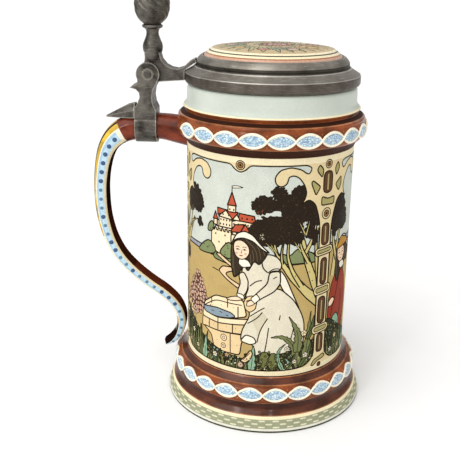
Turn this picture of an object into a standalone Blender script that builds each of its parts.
"""Half-litre stoneware beer stein with a hinged pewter lid.

Frame: the origin is on the stein's axis at its flat base, +Z is up and the handle is along -X.
Sizes are in millimetres and are turned into metres by mm(). The lid is shown closed.
"""

import math

import bmesh
import bpy
from mathutils import Matrix, Vector

# Driving sizes, in millimetres.
WALL_RADIUS = 41.0
BORE_RADIUS = 35.5
FLOOR_HEIGHT = 10.0
RIM_HEIGHT = 162.3
BASE_RADIUS = 51.3
LOWER_BAND_RADIUS = 47.2
UPPER_BAND_RADIUS = 46.1
COLLAR_RADIUS = 40.9
GAP = 0.3

PIN_X = -59.3
PIN_Z = 166.0
PIN_RADIUS = 1.4
PIN_LENGTH = 11.4
PIN_BORE_RADIUS = 1.6
KNUCKLE_RADIUS = 5.6
RING_LENGTH = 2.5
RING_COUNT = 5
PLUG_RADIUS = 2.35
PLUG_LENGTH = 0.8

LID_RADIUS = 42.0
INLAY_RADIUS = 32.9
INLAY_BASE = 172.0
LEDGE_TOP = 170.0
LEDGE_RADIUS = 28.2
DRIP_RING_RADIUS = 34.6

ARM_HEIGHT = 140.0
STRAP_CENTRE_X = -60.9
STRAP_WIDTH = 10.6
STRAP_RADIUS = 7.9
FINIAL_X = -57.5
STEM_FOOT = 176.3
STEM_TOP = 188.6
BULB_RADIUS = 8.6

STEPS = 48
SMALL_STEPS = 32
KNUCKLE_SPAN = RING_COUNT * RING_LENGTH + (RING_COUNT - 1) * GAP

# Body profile (radius, height), from the middle of the floor over the rim to the base.
BODY_INSIDE = [
    (0, FLOOR_HEIGHT),
    (BORE_RADIUS - 4.0, FLOOR_HEIGHT),
    (BORE_RADIUS - 1.2, FLOOR_HEIGHT + 1.2),
    (BORE_RADIUS, FLOOR_HEIGHT + 4.0),
    (BORE_RADIUS, RIM_HEIGHT - 1.1),
    (BORE_RADIUS + 0.8, RIM_HEIGHT - 0.2),
    (BORE_RADIUS + 2.0, RIM_HEIGHT),
]
COLLAR = [
    (COLLAR_RADIUS - 1.2, RIM_HEIGHT),
    (COLLAR_RADIUS - 0.3, RIM_HEIGHT - 0.7),
    (COLLAR_RADIUS, RIM_HEIGHT - 2.2),
    (COLLAR_RADIUS + 0.1, 154.2),
    (COLLAR_RADIUS + 1.3, 153.0),
    (COLLAR_RADIUS + 2.0, 152.3),
    (COLLAR_RADIUS + 1.8, 151.5),
    (COLLAR_RADIUS + 0.9, 150.6),
    (COLLAR_RADIUS + 1.2, 149.8),
]
UPPER_BAND = [
    (UPPER_BAND_RADIUS - 1.4, 148.8),
    (UPPER_BAND_RADIUS - 0.8, 148.0),
    (UPPER_BAND_RADIUS - 0.9, 147.2),
    (UPPER_BAND_RADIUS - 0.3, 145.9),
    (UPPER_BAND_RADIUS, 143.4),
    (UPPER_BAND_RADIUS - 0.3, 141.0),
    (UPPER_BAND_RADIUS - 1.1, 139.2),
    (WALL_RADIUS + 2.4, 138.0),
    (WALL_RADIUS + 0.9, 136.6),
    (WALL_RADIUS, 134.6),
]
LOWER_BAND = [
    (WALL_RADIUS, 26.0),
    (WALL_RADIUS + 0.8, 24.6),
    (WALL_RADIUS + 2.6, 22.8),
    (LOWER_BAND_RADIUS - 1.6, 21.8),
    (LOWER_BAND_RADIUS - 0.4, 20.4),
    (LOWER_BAND_RADIUS, 18.0),
    (LOWER_BAND_RADIUS - 0.1, 15.6),
    (LOWER_BAND_RADIUS - 0.9, 13.6),
]
FOOT = [
    (BASE_RADIUS - 5.2, 12.0),
    (BASE_RADIUS - 4.9, 10.6),
    (BASE_RADIUS - 3.6, 9.0),
    (BASE_RADIUS - 2.5, 7.6),
    (BASE_RADIUS - 1.5, 5.2),
    (BASE_RADIUS - 0.4, 2.0),
    (BASE_RADIUS, 0.9),
    (BASE_RADIUS - 0.5, 0),
]

# Pewter rim of the lid, a closed section: bezel and flange outside, then the drip ring and the ledge.
LID_RING = [
    (INLAY_RADIUS + GAP, 176.2),
    (INLAY_RADIUS + 1.0, 176.5),
    (INLAY_RADIUS + 2.3, 175.5),
    (INLAY_RADIUS + 3.1, 173.6),
    (INLAY_RADIUS + 3.2, 171.8),
    (LID_RADIUS - 4.4, 171.0),
    (LID_RADIUS - 0.7, 168.3),
    (LID_RADIUS, 167.4),
    (LID_RADIUS, 163.7),
    (LID_RADIUS - 0.6, 162.9),
    (LID_RADIUS - 1.6, RIM_HEIGHT + GAP),
    (DRIP_RING_RADIUS + 0.4, RIM_HEIGHT + GAP),
    (DRIP_RING_RADIUS, RIM_HEIGHT - 0.1),
    (DRIP_RING_RADIUS, 159.3),
    (DRIP_RING_RADIUS - 0.5, 158.8),
    (DRIP_RING_RADIUS - 1.2, 159.3),
    (DRIP_RING_RADIUS - 1.2, 166.0),
    (DRIP_RING_RADIUS - 2.8, LEDGE_TOP - 2.0),
    (LEDGE_RADIUS, LEDGE_TOP - 2.0),
    (LEDGE_RADIUS, LEDGE_TOP),
    (INLAY_RADIUS + GAP, LEDGE_TOP),
]
INLAY = [
    (0, 180.9),
    (12, 180.7),
    (22, 180.2),
    (INLAY_RADIUS - 3.4, 179.1),
    (INLAY_RADIUS - 1.9, 178.2),
    (INLAY_RADIUS - 0.6, 177.1),
    (INLAY_RADIUS, 176.3),
    (INLAY_RADIUS, INLAY_BASE),
    (0, INLAY_BASE),
]
BEDDING = [
    (LEDGE_RADIUS + 0.6, INLAY_BASE - GAP),
    (INLAY_RADIUS, INLAY_BASE - GAP),
    (INLAY_RADIUS, LEDGE_TOP + GAP),
    (LEDGE_RADIUS + 0.6, LEDGE_TOP + GAP),
]
STEM = [
    (0, STEM_TOP),
    (4.6, STEM_TOP),
    (5.0, STEM_TOP - 0.7),
    (4.7, STEM_TOP - 1.8),
    (3.4, STEM_TOP - 2.7),
    (2.9, STEM_TOP - 4.1),
    (3.3, STEM_TOP - 6.2),
    (4.6, STEM_TOP - 8.6),
    (4.85, STEM_TOP - 10.1),
    (4.0, STEM_FOOT),
    (0, STEM_FOOT),
]
FINIAL = [
    (0, 212.4),
    (1.6, 212.1),
    (3.1, 211.0),
    (3.3, 209.9),
    (2.5, 208.8),
    (3.0, 207.9),
    (5.0, 206.5),
    (7.2, 203.6),
    (8.4, 200.0),
    (BULB_RADIUS, 196.8),
    (7.7, 193.0),
    (6.0, 190.4),
    (4.7, STEM_TOP + GAP),
    (0, STEM_TOP + GAP),
]

# Handle sections along its path: x, z, thickness in the XZ plane, width along Y, squareness.
# Squareness 2 is an elliptical section, and more is nearer to a rectangle.
HANDLE_SECTIONS = [
    (-39.5, 138.0, 15.2, 15.2, 2.0),
    (-46.0, 139.0, 14.0, 14.0, 2.0),
    (-53.0, ARM_HEIGHT, 13.0, 13.0, 2.0),
    (-61.0, ARM_HEIGHT, 12.8, 12.8, 2.0),
    (-69.5, 138.9, 12.6, 12.8, 2.2),
    (-76.0, 135.6, 11.2, 12.8, 2.8),
    (-80.7, 129.6, 9.2, 12.6, 3.4),
    (-83.3, 121.4, 7.8, 12.4, 4.0),
    (-84.7, 111.0, 7.0, 12.2, 4.0),
    (-84.7, 100.0, 6.7, 12.0, 4.0),
    (-83.5, 90.4, 6.3, 11.8, 4.0),
    (-80.7, 80.6, 5.9, 11.6, 4.0),
    (-75.9, 71.6, 5.5, 11.4, 4.0),
    (-69.0, 63.9, 5.2, 11.2, 4.0),
    (-61.0, 57.3, 5.0, 11.0, 4.0),
    (-53.2, 51.7, 5.0, 11.0, 4.0),
    (-47.6, 46.0, 5.0, 11.0, 4.0),
    (-44.7, 39.8, 5.0, 11.0, 4.0),
    (-44.4, 34.2, 4.9, 11.0, 4.0),
    (-46.3, 28.4, 4.5, 10.6, 3.6),
    (-49.6, 24.4, 4.0, 9.8, 3.0),
    (-53.0, 22.3, 3.0, 8.6, 2.4),
]
SECTION_POINTS = 20

# Side outlines, (x, z).
SHANK_OUTLINE = [
    (-66.2, 143.0),
    (-66.2, 149.6),
    (-64.6, 152.0),
    (-63.4, 155.0),
    (-63.6, 157.2),
    (-65.2, 158.8),
    (-68.1, 159.6),
    (-64.4, 161.4),
    (-64.2, 165.0),
    (-60.0, 171.0),
    (-54.5, 165.0),
    (-55.0, 162.0),
    (-57.0, 158.6),
    (-57.5, 155.0),
    (-57.0, 151.6),
    (-55.7, 149.0),
    (-55.7, 143.0),
]
LID_ARM_OUTLINE = [
    (-61.2, 170.8),
    (-60.9, 173.5),
    (-61.0, 176.0),
    (-54.0, 176.0),
    (-53.0, 172.6),
    (-51.0, 170.2),
    (-48.4, 168.8),
    (-45.4, 168.3),
    (-42.6, 169.2),
    (-39.8, 171.8),
    (-37.0, 173.4),
    (-36.2, 171.8),
    (-39.5, 166.0),
    (-42.0, 163.2),
    (-50.0, 162.6),
    (-55.2, 162.2),
    (-58.0, 163.0),
]
TANG_LENGTH = 15.2
TANG_WIDTH = 11.0


def mm(value):
    """Millimetres as metres."""
    return value * 0.001


def clear_scene():
    for obj in list(bpy.data.objects):
        bpy.data.objects.remove(obj, do_unlink=True)


def collection(name):
    made = bpy.data.collections.new(name)
    bpy.context.scene.collection.children.link(made)
    return made


def material(name, colour, metallic, roughness):
    made = bpy.data.materials.new(name)
    made.use_nodes = True
    shader = made.node_tree.nodes["Principled BSDF"]
    shader.inputs["Base Color"].default_value = (*colour, 1.0)
    shader.inputs["Metallic"].default_value = metallic
    shader.inputs["Roughness"].default_value = roughness
    return made


def add_object(name, mesh, finish=None, origin=(0, 0, 0)):
    """A mesh in world millimetres as an object, with its origin at a point of that frame."""
    mesh.transform(Matrix.Scale(0.001, 4))
    mesh.transform(Matrix.Translation(-Vector(origin) * 0.001))
    obj = bpy.data.objects.new(name, mesh)
    obj.location = Vector(origin) * 0.001
    if finish is None:
        CUTTERS.objects.link(obj)
        obj.hide_render = True
        obj.display_type = "WIRE"
    else:
        STEIN.objects.link(obj)
        mesh.materials.append(finish)
    return obj


def shade(obj):
    obj.data.shade_smooth()
    obj.data.set_sharp_from_angle(angle=math.radians(35))


def mesh_from(name, work):
    bmesh.ops.remove_doubles(work, verts=work.verts, dist=1e-4)
    bmesh.ops.recalc_face_normals(work, faces=work.faces)
    mesh = bpy.data.meshes.new(name)
    work.to_mesh(mesh)
    work.free()
    return mesh


def turned(name, profile, finish=None, axis_x=0.0, steps=STEPS):
    """A profile turned about the vertical line at axis_x. One that starts off the axis is closed on itself."""
    work = bmesh.new()
    points = [work.verts.new((radius, 0, height)) for radius, height in profile]
    ends = list(zip(points, points[1:]))
    if profile[0][0] > 0:
        ends.append((points[-1], points[0]))
    for pair in ends:
        work.edges.new(pair)
    mesh = bpy.data.meshes.new(name)
    work.to_mesh(mesh)
    work.free()
    obj = add_object(name, mesh, finish)
    obj.location.x = mm(axis_x)
    screw = obj.modifiers.new("turn", "SCREW")
    screw.axis = "Z"
    screw.steps = steps
    screw.render_steps = steps
    screw.use_merge_vertices = True
    screw.merge_threshold = 1e-6
    screw.use_smooth_shade = True
    return obj


def rod(name, radius, start, end, finish=None, z=PIN_Z, axis="Y", origin=(0, 0, 0)):
    """A cylinder along Y at x = PIN_X between y = start and y = end, or along X between x = start and x = end."""
    work = bmesh.new()
    bmesh.ops.create_cone(
        work, cap_ends=True, segments=SMALL_STEPS, radius1=radius, radius2=radius, depth=end - start
    )
    middle = (start + end) / 2
    if axis == "Y":
        turn = Matrix.Rotation(math.radians(90), 4, "X")
        place = Matrix.Translation((PIN_X, middle, z))
    else:
        turn = Matrix.Rotation(math.radians(90), 4, "Y")
        place = Matrix.Translation((middle, 0, z))
    bmesh.ops.transform(work, matrix=place @ turn, verts=work.verts)
    return add_object(name, mesh_from(name, work), finish, origin)


def plate(name, outline, half_width, finish=None, origin=(0, 0, 0)):
    """A side outline in the XZ plane, extruded to both sides of that plane."""
    curve = bpy.data.curves.new(name, "CURVE")
    curve.dimensions = "2D"
    curve.fill_mode = "BOTH"
    curve.extrude = half_width
    spline = curve.splines.new("POLY")
    spline.points.add(len(outline) - 1)
    for point, (x, z) in zip(spline.points, outline):
        point.co = (x, z, 0, 1)
    spline.use_cyclic_u = True
    guide = bpy.data.objects.new(name + "_outline", curve)
    CUTTERS.objects.link(guide)
    bpy.context.view_layer.update()
    mesh = bpy.data.meshes.new_from_object(guide.evaluated_get(bpy.context.evaluated_depsgraph_get()))
    bpy.data.objects.remove(guide, do_unlink=True)
    mesh.transform(Matrix.Rotation(math.radians(90), 4, "X"))
    work = bmesh.new()
    work.from_mesh(mesh)
    return add_object(name, mesh_from(name, work), finish, origin)


def section_ring(work, section, direction, grow):
    """One superellipse ring of the handle, square to its path."""
    x, z, thickness, width, squareness = section
    across = Vector((-direction.z, 0, direction.x))
    ring = []
    for step in range(SECTION_POINTS):
        angle = 2 * math.pi * (step + 0.5) / SECTION_POINTS
        side = math.copysign(abs(math.cos(angle)) ** (2 / squareness), math.cos(angle))
        rise = math.copysign(abs(math.sin(angle)) ** (2 / squareness), math.sin(angle))
        place = Vector((x, 0, z)) + across * rise * (thickness / 2 + grow)
        place.y = side * (width / 2 + grow)
        ring.append(work.verts.new(place))
    return ring


def handle_sections():
    """The named sections with one more between each two, on a smooth curve through them."""
    dense = []
    last = len(HANDLE_SECTIONS) - 1
    for index in range(last):
        before, a, b, after = (HANDLE_SECTIONS[min(max(index + k, 0), last)] for k in (-1, 0, 1, 2))
        dense.append(a)
        dense.append(tuple((9 * (p + q) - o - r) / 16 for o, p, q, r in zip(before, a, b, after)))
    dense.append(HANDLE_SECTIONS[-1])
    return dense


def handle_loft(name, finish=None, grow=0.0):
    """The handle's solid, made larger all round by grow."""
    sections = handle_sections()
    work = bmesh.new()
    rings = []
    for index, section in enumerate(sections):
        ahead = sections[min(index + 1, len(sections) - 1)]
        behind = sections[max(index - 1, 0)]
        direction = Vector((ahead[0] - behind[0], 0, ahead[1] - behind[1])).normalized()
        rings.append(section_ring(work, section, direction, grow))
    for lower, upper in zip(rings, rings[1:]):
        for step in range(SECTION_POINTS):
            after = (step + 1) % SECTION_POINTS
            work.faces.new((lower[step], lower[after], upper[after], upper[step]))
    work.faces.new(rings[0])
    work.faces.new(rings[-1])
    return add_object(name, mesh_from(name, work), finish)


def combine(obj, cutter, operation="DIFFERENCE"):
    boolean = obj.modifiers.new(cutter.name, "BOOLEAN")
    boolean.operation = operation
    boolean.object = cutter
    boolean.solver = "EXACT"


def grown(profile, gap):
    """A solid profile outside a turned piece, moved outwards by a gap."""
    top = profile[0][1] + gap
    return [(0, top)] + [(radius + gap, height) for radius, height in profile] + [(0, profile[-1][1])]


def ring_spans():
    """The y ranges of the hinge's rings, from the front."""
    pitch = RING_LENGTH + GAP
    first = -KNUCKLE_SPAN / 2
    return [(first + i * pitch, first + i * pitch + RING_LENGTH) for i in range(RING_COUNT)]


def make_body():
    profile = BODY_INSIDE + COLLAR + UPPER_BAND + LOWER_BAND + FOOT + [(0, 0)]
    return turned("stoneware_body", profile, GLAZE)


def make_handle():
    handle = handle_loft("handle", HANDLE_GLAZE)
    outside = turned("body_clearance", grown(COLLAR + UPPER_BAND + LOWER_BAND + FOOT, GAP))
    combine(handle, outside)
    shade(handle)
    return handle


def make_strap():
    """The band round the handle, its shank and the three fixed hinge rings."""
    spans = ring_spans()
    half_width = KNUCKLE_SPAN / 2
    x0 = STRAP_CENTRE_X - STRAP_WIDTH / 2
    strap = rod("handle_strap", STRAP_RADIUS, x0, x0 + STRAP_WIDTH, PEWTER, z=ARM_HEIGHT, axis="X")
    combine(strap, plate("shank", SHANK_OUTLINE, half_width), "UNION")
    combine(strap, rod("knuckle", KNUCKLE_RADIUS, -half_width, half_width), "UNION")
    for index in (1, 3):
        start, end = spans[index]
        combine(strap, rod(f"lid_ring_slot_{index}", KNUCKLE_RADIUS + 0.4, start - GAP, end + GAP))
    combine(strap, rod("strap_pin_bore", PIN_BORE_RADIUS, -half_width - 1, half_width + 1))
    for name, side in (("front", -1), ("rear", 1)):
        near, far = side * (PIN_LENGTH / 2 + 0.15), side * (half_width + 1)
        combine(strap, rod(f"plug_seat_{name}", PLUG_RADIUS + 0.15, min(near, far), max(near, far)))
    combine(strap, HANDLE_CLEARANCE)
    shade(strap)
    return strap


def make_tang():
    """A raised leaf on top of the handle, pointing away from the shank."""
    root = STRAP_CENTRE_X - STRAP_WIDTH / 2 - GAP
    half = TANG_WIDTH / 2
    corners = [
        (root, 3.4, 145.6),
        (root, 3.4, 142.5),
        (root, 0, 150.6),
        (root - 4.8, half, 144.2),
        (root - 4.8, half, 141.5),
        (root - 4.4, 0, 150.2),
        (root - TANG_LENGTH, 0.7, 144.2),
        (root - TANG_LENGTH, 0.7, 140.6),
        (root - TANG_LENGTH, 0, 144.8),
    ]
    work = bmesh.new()
    for x, y, z in corners:
        work.verts.new((x, y, z))
        if y:
            work.verts.new((x, -y, z))
    bmesh.ops.convex_hull(work, input=work.verts)
    tang = add_object("strap_tang", mesh_from("strap_tang", work), PEWTER)
    combine(tang, HANDLE_CLEARANCE)
    shade(tang)
    return tang


def make_pin():
    pin = rod("hinge_pin", PIN_RADIUS, -PIN_LENGTH / 2, PIN_LENGTH / 2, STEEL, origin=(PIN_X, 0, PIN_Z))
    shade(pin)
    for name, side in (("front", -1), ("rear", 1)):
        outer = side * (KNUCKLE_SPAN / 2 + 0.05)
        inner = outer - side * PLUG_LENGTH
        plug = rod(f"pin_plug_{name}", PLUG_RADIUS, min(outer, inner), max(outer, inner), PEWTER)
        shade(plug)


def make_lid_arm():
    """The arm soldered on the lid, its foot for the thumblift and the two moving hinge rings."""
    spans = ring_spans()
    start, end = spans[1][0], spans[3][1]
    centre = spans[2]
    axis_point = (PIN_X, 0, PIN_Z)
    arm = plate("lid_arm", LID_ARM_OUTLINE, end, PEWTER, origin=axis_point)
    combine(arm, rod("lid_knuckle", KNUCKLE_RADIUS, start, end), "UNION")
    combine(arm, rod("fixed_ring_slot", KNUCKLE_RADIUS + 0.4, centre[0] - GAP, centre[1] + GAP))
    combine(arm, rod("arm_pin_bore", PIN_BORE_RADIUS, start - 1, end + 1))
    outside = [point for point in LID_RING if point[0] >= INLAY_RADIUS + GAP and point[1] > RIM_HEIGHT]
    combine(arm, turned("lid_clearance", grown(outside, GAP)))
    shade(arm)
    return arm


def make_lid():
    ring = turned("lid_ring", LID_RING, PEWTER)
    inlay = turned("lid_inlay", INLAY, INLAY_GLAZE)
    bedding = turned("inlay_bedding", BEDDING, PLASTER)
    return ring, inlay, bedding


def make_thumblift():
    stem = turned("thumblift_stem", STEM, PEWTER, FINIAL_X, SMALL_STEPS)
    finial = turned("thumblift_finial", FINIAL, PEWTER, FINIAL_X, SMALL_STEPS)
    return stem, finial


def group_lid(pieces):
    """Parents the lid's pieces to an empty on the hinge axis."""
    hinge = bpy.data.objects.new("lid_hinge_axis", None)
    hinge.empty_display_size = mm(10)
    hinge.location = (mm(PIN_X), 0, mm(PIN_Z))
    STEIN.objects.link(hinge)
    bpy.context.view_layer.update()
    for piece in pieces:
        piece.parent = hinge
        piece.matrix_parent_inverse = hinge.matrix_world.inverted()


clear_scene()
STEIN = collection("beer_stein")
CUTTERS = collection("cutters")
GLAZE = material("stoneware_glaze", (0.42, 0.40, 0.30), 0.0, 0.35)
HANDLE_GLAZE = material("handle_glaze", (0.14, 0.035, 0.012), 0.0, 0.2)
PEWTER = material("pewter", (0.19, 0.18, 0.16), 1.0, 0.42)
STEEL = material("steel_pin", (0.35, 0.34, 0.33), 1.0, 0.35)
INLAY_GLAZE = material("inlay_glaze", (0.52, 0.33, 0.17), 0.0, 0.3)
PLASTER = material("bedding_plaster", (0.70, 0.67, 0.60), 0.0, 0.9)
HANDLE_CLEARANCE = handle_loft("handle_clearance", grow=GAP)

make_body()
make_handle()
make_strap()
make_tang()
make_pin()
group_lid([make_lid_arm(), *make_lid(), *make_thumblift()])
